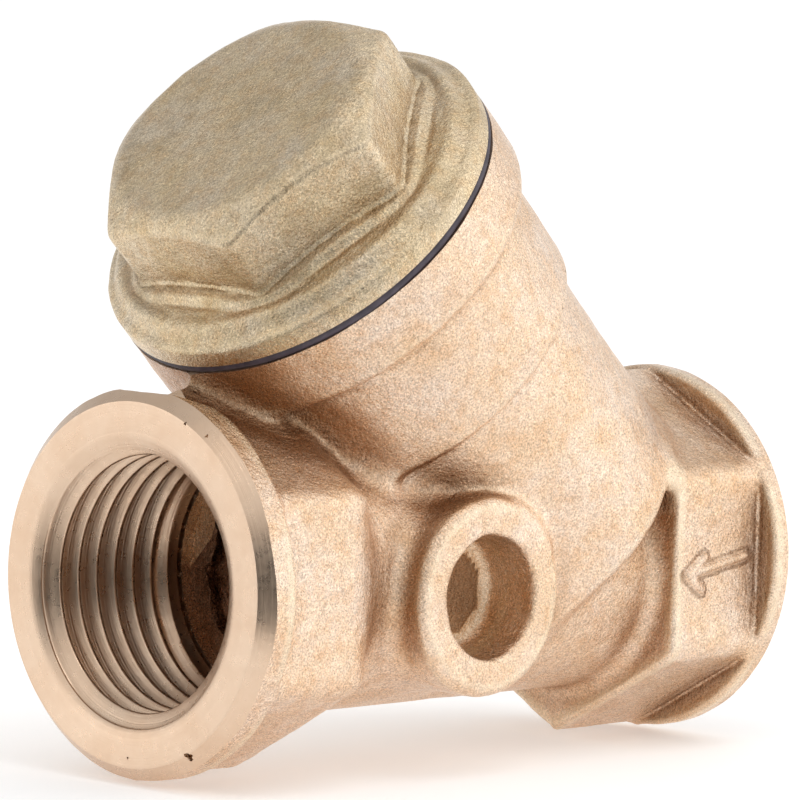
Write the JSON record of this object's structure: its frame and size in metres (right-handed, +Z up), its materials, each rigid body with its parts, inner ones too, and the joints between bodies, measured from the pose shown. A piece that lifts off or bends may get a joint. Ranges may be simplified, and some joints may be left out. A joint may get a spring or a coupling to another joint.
{
  "type": "y strainer",
  "caption": "Cast bronze Y strainer with tapped ends, hexagon blocks, a 45 degree leg with a screwed hexagon cap, gasket and perforated screen.",
  "frame": {"origin": "on the pipe's axis where the outlet's thread starts, 1 mm inside the outlet's end face", "axes": "+X along the pipe from the outlet to the inlet, against the flow; +Z up, on the side where the leg rises; -Y the front, which carries the boss and the flow arrow"},
  "size_m": [0.057, 0.0312, 0.0552],
  "materials": {
    "cast_bronze": "as cast, satin",
    "cast_brass": "as cast, satin",
    "fibre_rubber": "matt",
    "stainless": "rolled sheet"
  },
  "bodies": {
    "casting": {"body": "cast_bronze"},
    "screen_carrier": {"screen": "stainless", "gasket": "fibre_rubber"},
    "cap": {"cap": "cast_brass"}
  },
  "joints": [
    {"name": "cap_lift", "type": "slide", "parent": "casting", "child": "screen_carrier", "axis": [-0.7071, 0, 0.7071], "range_m": [0, 0.0075]},
    {"name": "cap_turn", "type": "hinge", "parent": "screen_carrier", "child": "cap", "pos_m": [0.0419, 0, 0], "axis": [-0.7071, 0, 0.7071], "range_deg": [0, 1810]}
  ],
  "couplings": [
    {"joint": "cap_turn", "follows": "cap_lift", "rad_per_m": 4188.8}
  ]
}
